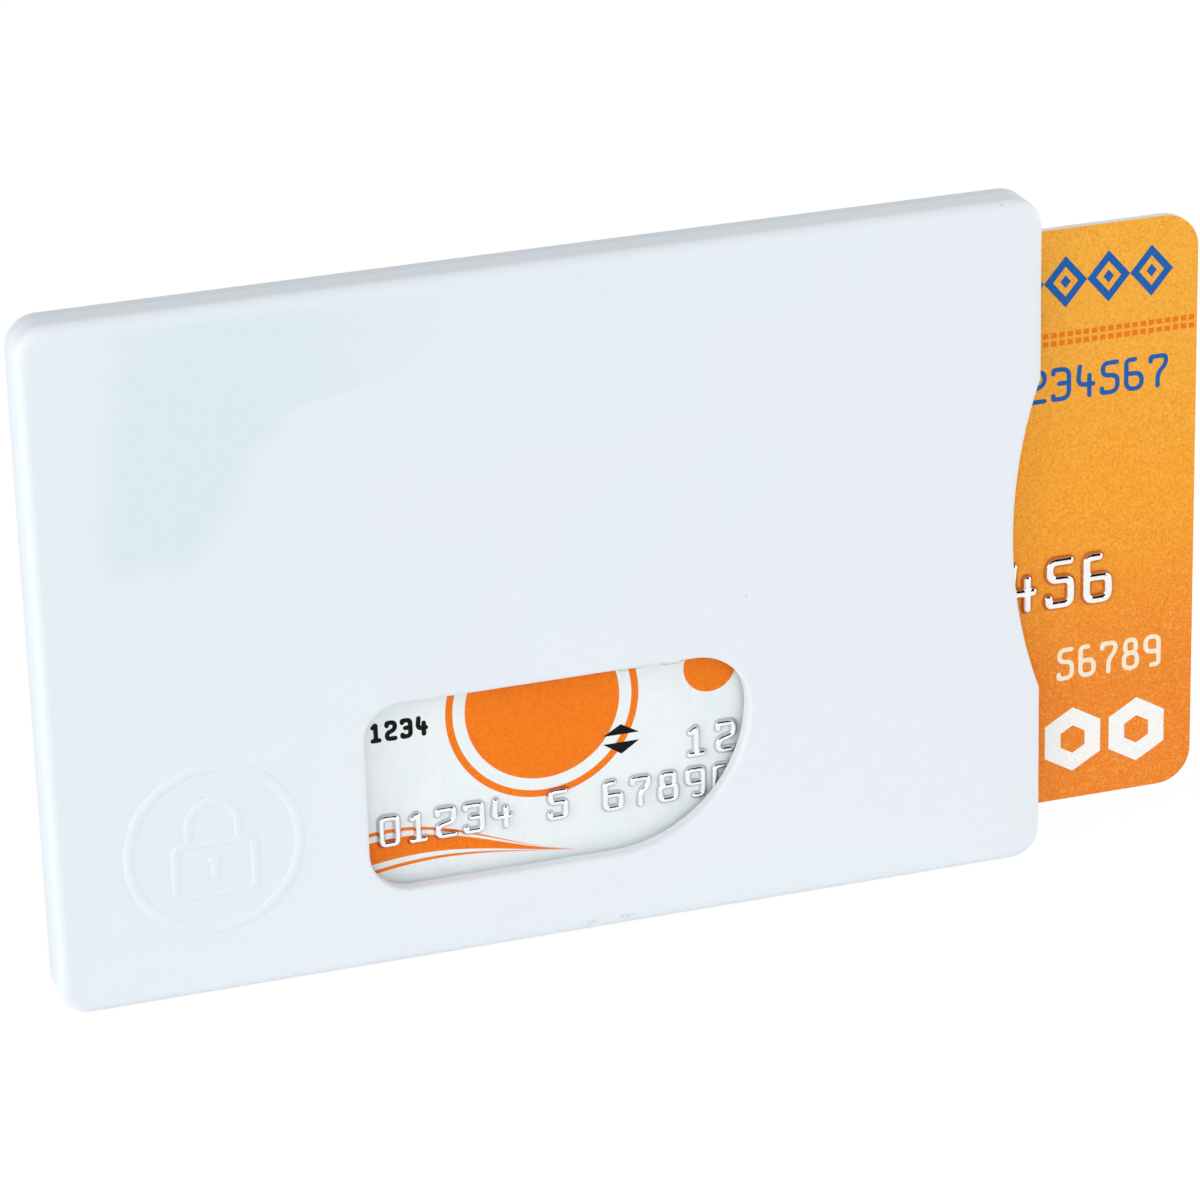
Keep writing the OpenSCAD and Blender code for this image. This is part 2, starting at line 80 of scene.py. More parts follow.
def plug(tree, value, entry):
    """Feeds a socket from a field, a colour or a number."""
    if isinstance(value, Field):
        tree.links.new(value.socket, entry)
    elif hasattr(entry.default_value, "__len__") and len(value) == 3:
        entry.default_value = tuple(value) + (1.0,)
    else:
        entry.default_value = value


class Field:
    """A number or colour that varies over a surface, as a socket of a node tree."""

    def __init__(self, tree, socket):
        self.tree, self.socket = tree, socket

    def op(self, kind, *others):
        node = self.tree.nodes.new("ShaderNodeMath")
        node.operation = kind
        for entry, value in zip(node.inputs, (self,) + others):
            plug(self.tree, value, entry)
        return Field(self.tree, node.outputs[0])

    def __add__(self, other): return self.op("ADD", other)
    def __sub__(self, other): return self.op("SUBTRACT", other)
    def __mul__(self, other): return self.op("MULTIPLY", other)
    def __truediv__(self, other): return self.op("DIVIDE", other)
    def __pow__(self, other): return self.op("POWER", other)
    def low(self, other): return self.op("MINIMUM", other)
    def high(self, other): return self.op("MAXIMUM", other)
    def absolute(self): return self.op("ABSOLUTE")
    def sine(self): return self.op("SINE")
    def wrap(self, length): return self.op("WRAP", length, 0.0)

    def ramp(self, zero, one, smooth=True):
        """0 where the field is at `zero`, 1 where it is at `one`."""
        node = self.tree.nodes.new("ShaderNodeMapRange")
        node.interpolation_type = "SMOOTHSTEP" if smooth else "LINEAR"
        flip = zero > one
        plug(self.tree, self, node.inputs["Value"])
        node.inputs["From Min"].default_value = min(zero, one)
        node.inputs["From Max"].default_value = max(zero, one)
        node.inputs["To Min"].default_value = 1.0 if flip else 0.0
        node.inputs["To Max"].default_value = 0.0 if flip else 1.0
        return Field(self.tree, node.outputs["Result"])

    def below(self, edge, soft=0.02): return self.ramp(edge + soft, edge - soft, False)
    def above(self, edge, soft=0.02): return self.ramp(edge - soft, edge + soft, False)
    def between(self, low, high, soft=0.02): return self.above(low, soft) * self.below(high, soft)


class Surface:
    """A material, its shader and its places in millimetres."""

    def __init__(self, name, **sockets):
        self.material = bpy.data.materials.new(name)
        self.material.use_nodes = True
        self.tree = self.material.node_tree
        self.shader = self.tree.nodes["Principled BSDF"]
        for key, value in sockets.items():
            plug(self.tree, value, self.shader.inputs[key.replace("_", " ")])
        coordinates = self.tree.nodes.new("ShaderNodeTexCoord")
        scaled = self.tree.nodes.new("ShaderNodeVectorMath")
        scaled.operation = "SCALE"
        scaled.inputs["Scale"].default_value = 1 / MM
        self.tree.links.new(coordinates.outputs["Object"], scaled.inputs[0])
        self.place = scaled.outputs[0]
        split = self.tree.nodes.new("ShaderNodeSeparateXYZ")
        self.tree.links.new(self.place, split.inputs[0])
        self.x, self.y, self.z = (Field(self.tree, s) for s in split.outputs)

    def texture(self, kind, size, shift, stretch=(1, 1, 1)):
        """A texture node whose features are about `size` mm across, and its first output."""
        mapping = self.tree.nodes.new("ShaderNodeMapping")
        mapping.inputs["Scale"].default_value = stretch
        mapping.inputs["Location"].default_value = shift
        self.tree.links.new(self.place, mapping.inputs[0])
        node = self.tree.nodes.new(kind)
        node.inputs["Scale"].default_value = 1 / size
        self.tree.links.new(mapping.outputs[0], node.inputs["Vector"])
        return node, Field(self.tree, node.outputs[0])

    def noise(self, size, detail=2.0, stretch=(1, 1, 1), rough=0.5, seed=0.0):
        """Noise whose blobs are about `size` mm across."""
        node, value = self.texture("ShaderNodeTexNoise", size, (seed * 13.7, seed * 7.3, seed * 3.1), stretch)
        node.inputs["Detail"].default_value = detail
        node.inputs["Roughness"].default_value = rough
        return value

    def cells(self, size, seed):
        """Distance to scattered points about `size` mm apart."""
        return self.texture("ShaderNodeTexVoronoi", size, (seed * 5.1, seed * 9.7, seed * 2.3))[1]

    def colour(self, value): plug(self.tree, value, self.shader.inputs["Base Color"])
    def rough(self, value): plug(self.tree, value, self.shader.inputs["Roughness"])
    def metal(self, value): plug(self.tree, value, self.shader.inputs["Metallic"])

    def mix(self, share, a, b, kind="MIX"):
        """Colour a where share is 0 and colour b where it is 1."""
        node = self.tree.nodes.new("ShaderNodeMix")
        node.data_type, node.blend_type = "RGBA", kind
        for entry, value in ((0, share), (6, a), (7, b)):
            plug(self.tree, value, node.inputs[entry])
        return Field(self.tree, node.outputs[2])

    def bump(self, height, depth):
        """Raises the surface by `height` times `depth` mm."""
        node = self.tree.nodes.new("ShaderNodeBump")
        node.inputs["Distance"].default_value = depth * MM
        plug(self.tree, height, node.inputs["Height"])
        self.tree.links.new(node.outputs[0], self.shader.inputs["Normal"])


# Materials

def plastic(name, base, marks=()):
    """White moulded plastic: faint grain, soft flow marks, a painted cool shade that grows towards the upper
    left, scratches and a few specks.
    With marks (x, y, z, across, tall, strength), it also has a painted cool shade patch near the sleeve's
    closed end."""
    s = Surface(name, Roughness=0.5, IOR=1.46)
    cloud = s.noise(15, 3, (1, 1, 1.4), 0.62, seed=3)
    # The painted cool shade patch: its slanting right edge, its distance inside its left, right and lower
    # edges, and its share
    right = s.z * 0.75 - 60.6 + s.z.ramp(51.5, 54.5) * 8
    inside = (s.x + 38.5).low(right - s.x).low(s.z - 39.5) * 0.4
    painted_cool_shade = (inside + (cloud - 0.5) * 3).ramp(-0.5, 1.1) * s.z.ramp(61.8, 59.8) * s.x.ramp(-2, -28)
    tone = s.mix(painted_cool_shade * float(bool(marks)), base, tinted(base, 0.74, 0.90, 0.895))
    # Painted cool shade that grows towards the upper left, broken up by the cloud noise.
    upper_left_shade = (s.x * -0.011 + s.z * 0.012 + cloud * 0.8).ramp(0.55, 1.25)
    tone = s.mix(upper_left_shade * 0.55, tone, tinted(base, 0.93, 0.965, 0.975))
    lilac = s.noise(11, 2, seed=9).ramp(0.45, 0.75)
    tone = s.mix(lilac * 0.5, tone, tinted(base, 1.0, 0.98, 1.0))
    grain = s.noise(0.3, 2.0, seed=2)
    tone = s.mix(grain.ramp(0.3, 0.75) * 0.45, tone, tinted(base, 0.965, 0.965, 0.965))
    scratch = s.noise(0.09, 1.0, (1, 1, 0.035), seed=4).ramp(0.74, 0.8)
    scratch = scratch * s.noise(9, 1, seed=5).ramp(0.56, 0.66)
    tone = s.mix(scratch * 0.16, tone, (0.98, 0.985, 0.99))
    speck = s.cells(6.5, 3).below(0.017, 0.004) * s.noise(18, 1, seed=6).ramp(0.52, 0.6)
    tone = s.mix(speck * 0.5, tone, (0.3, 0.31, 0.33))
    worn = s.noise(0.35, 3, seed=17).ramp(0.38, 0.6)
    for x, y, z, across, tall, strength in marks:
        spot = ((s.x - x) / across) ** 2.0 + ((s.y - y) / tall) ** 2.0 + ((s.z - z) / tall) ** 2.0
        broken = worn if across > tall else 1
        tone = s.mix(spot.ramp(1.3, 0.3) * broken * strength, tone, (0.40, 0.45, 0.43))
    s.colour(tone)
    s.rough(s.noise(1.8, 3, seed=7).ramp(0.3, 0.7) * 0.1 + 0.44 + scratch * 0.12)
    s.bump(s.noise(0.32, 2.5, seed=8) * 0.6 + grain * 0.3 - scratch * 0.5, 0.006)
    return s.material


def printed(s):
    """The card's front print: a white field with orange motifs, and an orange field on the right."""
    u, v = s.x - CARD_X, s.z - CARD_Z
    grain = s.noise(0.19, 2.5, seed=11)
    cloud = s.noise(7, 2, seed=12)
    height = (v + (cloud - 0.5) * 5).ramp(2, 52)
    field = s.mix(height.ramp(0.0, 0.55), linear(241, 134, 39), linear(249, 163, 42))
    field = s.mix(height.ramp(0.55, 1.0), field, linear(246, 173, 55))
    field = s.mix(grain.ramp(0.50, 0.74) * 0.44, field, linear(255, 204, 104))
    field = s.mix(grain.ramp(0.50, 0.28) * 0.42, field, linear(215, 112, 16))
    white = s.mix(s.noise(3, 2, seed=13).ramp(0.3, 0.7), linear(238, 245, 246), linear(242, 247, 249))
    brushed = s.noise(0.5, 2, (1, 1, 0.12), seed=16)
    white = s.mix(brushed.ramp(0.4, 0.75) * 0.2, white, linear(228, 236, 236))
    motif = s.mix(grain.ramp(0.15, 0.85), linear(236, 110, 6), linear(254, 136, 22))

    def disc(cu, cv): return (((u - cu) ** 2.0) + ((v - cv) ** 2.0)) ** 0.5

    # A disc in a ring, a ribbon with a thin line on each side, and a small disc
    spot = disc(24.5, 17.2)
    shape = spot.below(7.0).high(spot.between(8.1, 8.75))
    ribbon = (v - 4.3 - ((u - 3.0) * 0.175).sine() * 1.5).absolute()
    taper = u.ramp(28.0, 8.0)
    drawn = taper.above(0.01, 0.01)
    shape = shape.high((ribbon - taper * 1.05).below(0.0) * drawn)
    shape = shape.high(((ribbon - taper * 1.8).absolute() - taper * 0.18).below(0.0) * drawn)
    shape = shape.high(disc(39.8, 18.3).below(2.4))
    picture = s.mix(shape, white, motif)
    # The field's curved left edge, with a thin arc beside it
    reach = disc(-22.0, 29.0)
    picture = s.mix(reach.between(70.9, 71.3), picture, motif)
    picture = s.mix(reach.above(72.2), picture, field)
    # Two rows of small squares
    square = ((u - 71.0).wrap(0.767)).between(0.0, 0.53, 0.03)
    row = (v - 44.35).absolute().below(0.245, 0.03).high((v - 43.6).absolute().below(0.245, 0.03))
    rows = square * row * reach.above(73.4) * u.below(85.45)
    return s.mix(rows * 0.9, picture, linear(232, 112, 14))


def card_front():
    s = Surface("card_front_print", Roughness=0.3, Specular_IOR_Level=0.18)
    s.colour(printed(s))
    s.rough(s.noise(2.2, 2, seed=14).ramp(0.3, 0.7) * 0.1 + 0.26)
    s.bump(s.noise(0.8, 2, seed=15), 0.004)
    return s.material


def embossed():
    """Raised figures: the print stretched over them and darkened on their slopes as painted shade, and silver
    foil on their crowns.
    """
    s = Surface("embossed_foil")
    picture = printed(s)
    raised = s.y * -1 + CARD_Y
    worn = s.noise(0.35, 3, seed=21)
    foil = (raised + (worn - 0.5) * 0.10).ramp(0.26, 0.33)
    foil = foil * (worn.ramp(0.70, 0.78) * -0.8 + 1)
    silver = s.mix(s.noise(0.5, 2, seed=22), (0.86, 0.87, 0.88), (0.95, 0.95, 0.94))
    # Painted shade: the print on the slopes is deepened and darkened, standing in for slopes in shadow that
    # reflect the dark.
    painted_slope_shade = s.mix(1.0, s.mix(0.45, picture, picture, "MULTIPLY"), (0.66, 0.65, 0.65), "MULTIPLY")
    print_and_slope_shade = s.mix(raised.between(0.03, 0.30, 0.05), picture, painted_slope_shade)
    s.colour(s.mix(foil, print_and_slope_shade, silver))
    s.metal(foil)
    s.rough(foil * -0.33 + 0.42)
    s.bump(s.noise(0.45, 2, seed=23), 0.006)
    return s.material


def ink(name, colour):
    """Printed ink: a fine screen and a slightly uneven tone."""
    s = Surface(name, Roughness=0.32, Specular_IOR_Level=0.12)
    tone = s.noise(0.22, 2, seed=31).ramp(0.3, 0.7)
    s.colour(s.mix(tone, colour, [min(1, c * 1.12 + 0.004) for c in colour]))
    s.bump(s.noise(0.5, 2, seed=32), 0.002)
    return s.material


def card_back():
    """Off-white print with a fine wave pattern, and grey bars where small print would be."""
    s = Surface("card_back_print", Roughness=0.3, Coat_Weight=0.2, Coat_Roughness=0.15)
    u, v = s.x - CARD_X, s.z - CARD_Z
    tone = s.mix(s.noise(5, 2, seed=41).ramp(0.3, 0.7), (0.90, 0.89, 0.86), (0.88, 0.87, 0.84))
    wave = (v + (u * 0.22).sine() * 1.6).wrap(0.9)
    tone = s.mix(wave.below(0.14, 0.05) * 0.4, tone, linear(236, 190, 140))
    line = v.wrap(1.5).below(0.62, 0.05) * v.between(2.4, 10.3) * u.between(6, 79)
    word = s.noise(2.4, 0, (1, 1, 0.02), seed=42).above(0.47, 0.02)
    tone = s.mix(line * word * 0.6, tone, (0.18, 0.18, 0.19))
    s.colour(tone)
    s.bump(s.noise(0.8, 2, seed=43), 0.004)
    return s.material


def metal(name, low, high, rough, size, stretch, depth):
    """Metal with fine lines, or plain grain where stretch is even."""
    s = Surface(name, Metallic=1.0)
    s.colour(s.mix(s.noise(size * 6, 2, seed=51).ramp(0.3, 0.7), low, high))
    lines = s.noise(size, 3, stretch, seed=52)
    s.rough(lines.ramp(0.3, 0.7) * 0.16 + rough)
    s.bump(lines, depth)
    return s.material


def sheet(name, low, high, rough, size, depth, stretch=(1, 1, 1)):
    """Plain sheet or block material with a fine grain between two tones."""
    s = Surface(name)
    grain = s.noise(size, 3, stretch, seed=61)
    s.colour(s.mix(grain.ramp(0.3, 0.7), low, high))
    s.rough(s.noise(size * 3, 2, seed=62).ramp(0.3, 0.7) * 0.12 + rough)
    s.bump(grain, depth)
    return s.material


def board():
    """Glass-epoxy: a fine plain weave under dark green."""
    s = Surface("module_board", Roughness=0.5)
    weave = (s.x * 21).sine() * (s.z * 21).sine()
    s.colour(s.mix(weave.ramp(-0.8, 0.8), (0.035, 0.05, 0.02), (0.07, 0.09, 0.036)))
    s.bump(weave, 0.004)
    return s.material


def signature():
    """A white writing strip with a fine slanted line pattern."""
    s = Surface("signature_panel", Roughness=0.75)
    slant = (s.x + s.z * 0.55).wrap(1.3)
    tone = s.mix(slant.below(0.22, 0.06) * 0.5, (0.93, 0.922, 0.888), linear(238, 170, 120))
    s.colour(s.mix(s.noise(0.3, 2, seed=71).ramp(0.35, 0.7) * 0.2, tone, (0.80, 0.79, 0.76)))
    s.bump(s.noise(0.15, 3, seed=72), 0.01)
    return s.material


# Scuffs along the front's lower edge and two specks: place, half-width, half-height and strength
MARKS = (
    (2.4, -2.38, 0.85, 0.9, 0.28, 0.3),
    (5.8, -2.4, 0.95, 0.8, 0.26, 0.45),
    (10.1, -2.37, 0.75, 0.3, 0.18, 0.3),
    (-31.75, -2.4, 18.6, 0.11, 0.11, 0.4),
    (41.15, -2.14, 61.75, 0.17, 0.17, 0.35),
)
slots = {
    "front_shell": plastic("front_shell", [0.812, 0.863, 0.907], MARKS),
    # The back shell is the same plastic as the front, its colour darkened as painted shade for its rim that
    # faces away from the light.
    "back_shell": plastic("back_shell", [0.770, 0.819, 0.860]),
    "card_front_print": card_front(),
    "card_back_print": card_back(),
    "module_board": board(),
    "signature_panel": signature(),
}
# Two tones, roughness, grain in mm, depth in mm and stretch
for name, *look in (
    ("bond_film", (0.66, 0.62, 0.49), (0.71, 0.67, 0.54), 0.45, 0.8, 0.004),
    ("card_core", (0.93, 0.92, 0.88), (0.95, 0.94, 0.91), 0.45, 0.4, 0.004),
    ("antenna_sheet", (0.85, 0.82, 0.75), (0.89, 0.87, 0.81), 0.4, 1.2, 0.004),
    ("chip_silicon", (0.09, 0.1, 0.12), (0.13, 0.14, 0.16), 0.12, 0.5, 0.001),
    ("chip_resin", (0.014, 0.014, 0.014), (0.024, 0.024, 0.024), 0.45, 0.3, 0.01),
    ("magnetic_stripe", (0.02, 0.015, 0.013), (0.032, 0.025, 0.022), 0.25, 0.3, 0.002, (0.05, 1, 1)),
):
    slots[name] = sheet(name, *look)
# Two tones, roughness, line width in mm, stretch and depth in mm
for name, *look in (
    ("shield_foil", (0.78, 0.79, 0.80), (0.88, 0.89, 0.90), 0.22, 0.12, (1, 1, 0.03), 0.004),
    ("antenna_copper", (0.86, 0.42, 0.25), (0.93, 0.52, 0.34), 0.28, 0.2, (1, 1, 1), 0.004),
    ("contact_gold", (0.86, 0.60, 0.22), (0.95, 0.72, 0.32), 0.2, 0.1, (1, 1, 0.05), 0.003),
):
    slots[name] = metal(name, *look)
for entry in frame["record"]["subparts"]:
    node = frame["nodes"][entry["node"]]
    material = slots[entry["material_slot"]]
    if not node.material_slots:
        node.data.materials.append(material)
    for place in node.material_slots:
        place.material = material


# Raised figures and prints

# The strokes of each figure on a grid 2 wide and 4 high; a stroke that ends where it starts is a loop.
STROKES = {
    "0": [[(0, 0), (2, 0), (2, 4), (0, 4), (0, 0)]],
    "1": [[(0.35, 3.3), (1.05, 4), (1.05, 0)], [(0.25, 0), (1.85, 0)]],
    "2": [[(0, 3.3), (0, 4), (2, 4), (2, 2.15), (0, 1.5), (0, 0), (2, 0)]],
    "3": [[(0, 3.5), (0, 4), (2, 4), (2, 0), (0, 0), (0, 0.5)], [(0.75, 2.1), (2, 2.1)]],
    "4": [[(0.25, 4), (0, 1.5), (2, 1.5)], [(1.5, 2.7), (1.5, 0)]],
    "5": [[(1.9, 4), (0.1, 4), (0.1, 2.3), (2, 2.3), (2, 0), (0, 0), (0, 0.6)]],
    "6": [[(1.1, 4), (0, 4), (0, 0), (2, 0), (2, 2.1), (0.05, 2.1)]],
    "7": [[(0, 3.4), (0, 4), (2, 4), (2, 2.8), (0.95, 1.7), (0.95, 0)]],
    "8": [[(0.2, 2.15), (0.2, 4), (1.8, 4), (1.8, 2.15), (0.2, 2.15)],
          [(0, 2.15), (0, 0), (2, 0), (2, 2.15), (0, 2.15)]],
    "9": [[(1.95, 1.9), (0, 1.9), (0, 4), (2, 4), (2, 0), (0.9, 0)]],
    "/": [[(0.2, 0), (1.8, 4)]],
}


def eased(line, radius):
    """A stroke with its corners rounded."""
    closed = line[0] == line[-1]
    points = [np.array(p, float) for p in line]
    if closed:
        points = points[:-1]
    out = []
    for i, p in enumerate(points):
        if not closed and i in (0, len(points) - 1):
            out.append(p)
            continue
        before, after = points[i - 1], points[(i + 1) % len(points)]
        reach = min(radius, np.linalg.norm(before - p) / 2, np.linalg.norm(after - p) / 2)
        a = p + (before - p) / np.linalg.norm(before - p) * reach
        b = p + (after - p) / np.linalg.norm(after - p) * reach
        for t in np.linspace(0, 1, 6):
            out.append((1 - t) ** 2 * a + 2 * t * (1 - t) * p + t * t * b)
    if closed:
        out.append(out[0])
    return out


def figure(text, u, v, width, height, round_off):
    """Strokes of one figure, centred on u and v."""
    sx, sz = width / 2, height / 4
    return [eased([(u + (x - 1) * sx, v + (z - 2) * sz) for x, z in line], round_off) for line in STROKES[text]]


def away_from(strokes, gu, gv):
    """Distance of each grid point from the nearest stroke."""
    away = np.full(gu.shape, 9.0)
    for line in strokes:
        for a, b in zip(line, line[1:]):
            run = b - a
            t = np.clip(((gu - a[0]) * run[0] + (gv - a[1]) * run[1]) / max(run @ run, 1e-12), 0, 1)
            away = np.minimum(away, np.hypot(gu - a[0] - t * run[0], gv - a[1] - t * run[1]))
    return away


def grid_round(strokes, margin, cell):
    """A grid of points that covers the strokes and a margin."""
    ends = np.array([p for line in strokes for p in line])
    low, high = ends.min(0) - margin - cell, ends.max(0) + margin + cell
    count = np.ceil((high - low) / cell).astype(int) + 1
    return np.meshgrid(low[0] + np.arange(count[0]) * cell, low[1] + np.arange(count[1]) * cell)


def piece(name, verts, faces, material, body, smooth=False):
    """A new object from its points and faces, on its body."""
    mesh = bpy.data.meshes.new(name)
    mesh.from_pydata(verts, [], faces)
    mesh.materials.append(material)
    mesh.polygons.foreach_set("use_smooth", [smooth] * len(mesh.polygons))
    made = bpy.data.objects.new(name, mesh)
    bpy.context.scene.collection.objects.link(made)
    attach(made, body)


def relief(name, drawings, foot, crown, height, cell, material, body, origin):
    """Raised lines on a flat front face, as one height field per drawing.
    foot and crown are the half-widths of a line at its base and at its top."""
    verts, faces = [], []
    for strokes in drawings:
        gu, gv = grid_round(strokes, foot, cell)
        away = away_from(strokes, gu, gv)
        inside = away < foot
        t = np.clip((foot - away) / (foot - crown), 0, 1)
        lift = np.where(inside, height * np.sin(t * math.pi / 2), -0.01)
        used = inside[:-1, :-1] | inside[1:, :-1] | inside[:-1, 1:] | inside[1:, 1:]
        index = np.full(gu.shape, -1)
        for j, i in zip(*np.nonzero(used)):
            ring = ((j, i), (j, i + 1), (j + 1, i + 1), (j + 1, i))
            for q in ring:
                if index[q] < 0:
                    index[q] = len(verts)
                    place = origin[0] + gu[q], origin[1] - lift[q], origin[2] + gv[q]
                    verts.append(tuple(c * MM for c in place))
            faces.append(tuple(index[q] for q in ring))
    piece(name, verts, faces, material, body, True)


def stamp(name, shapes, material):
    """Flat printed shapes on the card's front: each an outline, and its hole with as many points or None."""
    verts, faces = [], []

    def add(loop, y):
        start = len(verts)
        verts.extend(((CARD_X + u) * MM, y * MM, (CARD_Z + v) * MM) for u, v in loop)
        return list(range(start, len(verts)))

    for outline, hole in shapes:
        count = len(outline)
        top, foot = add(outline, CARD_Y - INK), add(outline, CARD_Y + INK_FOOT)
        if hole:
            top_in, foot_in = add(hole, CARD_Y - INK), add(hole, CARD_Y + INK_FOOT)
        else:
            faces.append(top)
        for i in range(count):
            k = (i + 1) % count
            faces.append((foot[i], foot[k], top[k], top[i]))
            if hole:
                faces.append((top[i], top[k], top_in[k], top_in[i]))
                faces.append((top_in[i], top_in[k], foot_in[k], foot_in[i]))
    piece(name, verts, faces, material, "card")


def figures(name, text, low, high, half, material, cell=0.07, gap=0.13):
    """Printed plain figures that fill the box from low to high, as thin raised ink with clean outlines.
    gap is the space between two figures as a share of their height."""
    width, tall = high[0] - low[0], high[1] - low[1]
    step = (width + gap * tall) / len(text)
    verts, faces, known = [], [], {}

    def point(key, u, v):
        if key not in known:
            known[key] = len(verts)
            verts.append(((CARD_X + u) * MM, (CARD_Y - INK) * MM, (CARD_Z + v) * MM))
        return known[key]

    for k, letter in enumerate(text):
        middle = low[0] + step * (k + 0.5) - gap / 2 * tall
        size = step - gap * tall - 2 * half, tall - 2 * half
        strokes = figure(letter, middle, (low[1] + high[1]) / 2, *size, 0.3 * tall)
        gu, gv = grid_round(strokes, half, cell)
        depth = half - away_from(strokes, gu, gv)
        for j in range(gu.shape[0] - 1):
            for i in range(gu.shape[1] - 1):
                # The part of this cell that lies inside the figure's outline
                ring = [(j, i), (j, i + 1), (j + 1, i + 1), (j + 1, i)]
                loop = []
                for p, q in zip(ring, ring[1:] + ring[:1]):
                    if depth[p] > 0:
                        loop.append(point((k,) + p, gu[p], gv[p]))
                    if (depth[p] > 0) != (depth[q] > 0):
                        t = depth[p] / (depth[p] - depth[q])
                        key = (k,) + min(p, q) + max(p, q)
                        loop.append(point(key, gu[p] + t * (gu[q] - gu[p]), gv[p] + t * (gv[q] - gv[p])))
                if len(loop) > 2:
                    faces.append(tuple(loop))
    # A rim from each outer edge down to the card
    sides = dict.fromkeys(side for face in faces for side in zip(face, face[1:] + face[:1]))
    foot = {}
    for a, b in [side for side in sides if side[::-1] not in sides]:
        for q in (a, b):
            if q not in foot:
                foot[q] = len(verts)
                verts.append((verts[q][0], (CARD_Y + INK_FOOT) * MM, verts[q][2]))
        faces.append((b, a, foot[a], foot[b]))
    piece(name, verts, faces, material, "card")


def lozenge(u, v, w, h):
    return [(u - w / 2, v), (u, v - h / 2), (u + w / 2, v), (u, v + h / 2)]


def hexagon(u, v, r):
    turns = [math.radians(60 * i - 30) for i in range(6)]
    return [(u + r * math.cos(a), v + r * math.sin(a)) for a in turns]


# The long number: sixteen plain figures in four groups, on a line that rises towards the inner end.
LAST, PITCH = 76.3, 3.63
number = []
for i, c in enumerate("0123456789012456"):
    u = LAST - PITCH * (18 - i - i // 4)
    number.append(figure(c, u, 21.1 + 0.012 * (LAST - u), 2.1, 4.05, 0.7))
# The date beside the two small marks
date = [figure(c, u, 11.5, 1.45, 2.5, 0.45) for c, u in zip("12/34", (38.35, 41.15, 43.7, 46.2, 48.75))]
# The row that stands where a name would
row = [figure(c, 10.3 + 2.54 * i, 7.55, 1.45, 2.45, 0.4) for i, c in enumerate("01234 5 67890") if c != " "]
foil = embossed()
for name, drawings, foot, crown, height, cell in (
    ("raised_number", number, 0.57, 0.05, 0.46, 0.06),
    ("raised_date", date, 0.44, 0.05, 0.42, 0.055),
    ("raised_row", row, 0.41, 0.05, 0.40, 0.055),
):
    relief(name, drawings, foot, crown, height, cell, foil, "card",
           (CARD_X, CARD_Y, CARD_Z))

# Raised padlock inside the ring
arch = [(2.2 * math.cos(a), 2.2 + 2.2 * math.sin(a)) for a in np.linspace(0, math.pi, 25)]
lock = [
    eased([(-3.5, -4.2), (3.5, -4.2), (3.5, 0.6), (-3.5, 0.6), (-3.5, -4.2)], 0.9),
    [np.array(p) for p in [(2.2, 0.6)] + arch + [(-2.2, 0.6)]],
    [np.array((0, -1.1)), np.array((0, -2.4))],
    [np.array((-0.25, -1.1)), np.array((0.25, -1.1))],
]
relief("padlock_mark", [lock], 0.42, 0.12, 0.12, 0.07, slots["front_shell"], "sleeve",
       (RING_X, SLEEVE_Y, RING_Z))

# A chain of lozenges with figures under it, hexagons with figures over them, and the window's small marks
blue, black = ink("blue_ink", linear(24, 92, 166)), ink("black_ink", linear(8, 6, 6))
cream, white_ink = ink("cream_ink", linear(242, 230, 206)), ink("white_ink", linear(243, 243, 240))
CHAIN_U, CHAIN_V, CHAIN_PITCH = 73.1, 49.15, 4.05
chain = []
for i in range(-6, 3):
    u = CHAIN_U + CHAIN_PITCH * i
    chain.append((lozenge(u, CHAIN_V, CHAIN_PITCH, 4.7), lozenge(u, CHAIN_V, 2.35, 2.75)))
    chain.append((lozenge(u, CHAIN_V, 1.0, 1.2), None))
stamp("blue_ornament", chain, blue)
figures("blue_figures", "01234567", (64.9, 38.2), (82.9, 41.35), 0.21, blue)
figures("white_figures", "56789", (72.5, 11.6), (82.6, 14.75), 0.21, cream)
hexagons = [(hexagon(u, 5.75, 3.1), hexagon(u, 5.75, 1.35)) for u in (67.9, 74.1, 80.3)]
stamp("white_hexagons", hexagons, white_ink)
figures("black_figures", "1234", (8.95, 15.9), (14.2, 17.8), 0.205, black, 0.05)
upper = [(29.9, 13.15), (33.2, 13.15), (31.55, 14.1)]
lower = [(29.9, 12.4), (31.55, 11.3), (33.2, 12.4)]
stamp("black_marks", [(upper, None), (lower, None)], black)


# Stage, light and camera

def seen(tree):
    """1 for rays from the camera, and for reflected and refracted rays."""
    path = tree.nodes.new("ShaderNodeLightPath")
    total = Field(tree, path.outputs["Is Camera Ray"]).high(Field(tree, path.outputs["Is Glossy Ray"]))
    return total.high(Field(tree, path.outputs["Is Transmission Ray"]))


corners = [(x * FLOOR_HALF, y * FLOOR_HALF, 0) for x, y in ((-1, -1), (1, -1), (1, 1), (-1, 1))]
floor_mesh = bpy.data.meshes.new("floor")
floor_mesh.from_pydata(corners, [], [(0, 1, 2, 3)])
floor = bpy.data.objects.new("floor", floor_mesh)
bpy.context.scene.collection.objects.link(floor)
pale = bpy.data.materials.new("floor")
pale.use_nodes = True
tree = pale.node_tree
ground = tree.nodes["Principled BSDF"]
ground.inputs["Base Color"].default_value = (0.86, 0.87, 0.88, 1)
ground.inputs["Roughness"].default_value = 0.9
ground.inputs["Specular IOR Level"].default_value = 0.0
glow = tree.nodes.new("ShaderNodeEmission")
glow.inputs["Strength"].default_value = FLOOR_GLOW
lit = tree.nodes.new("ShaderNodeEmission")
lit.inputs["Strength"].default_value = FLOOR_LIT
both = tree.nodes.new("ShaderNodeAddShader")
blend = tree.nodes.new("ShaderNodeMixShader")
tree.links.new(ground.outputs[0], both.inputs[0])
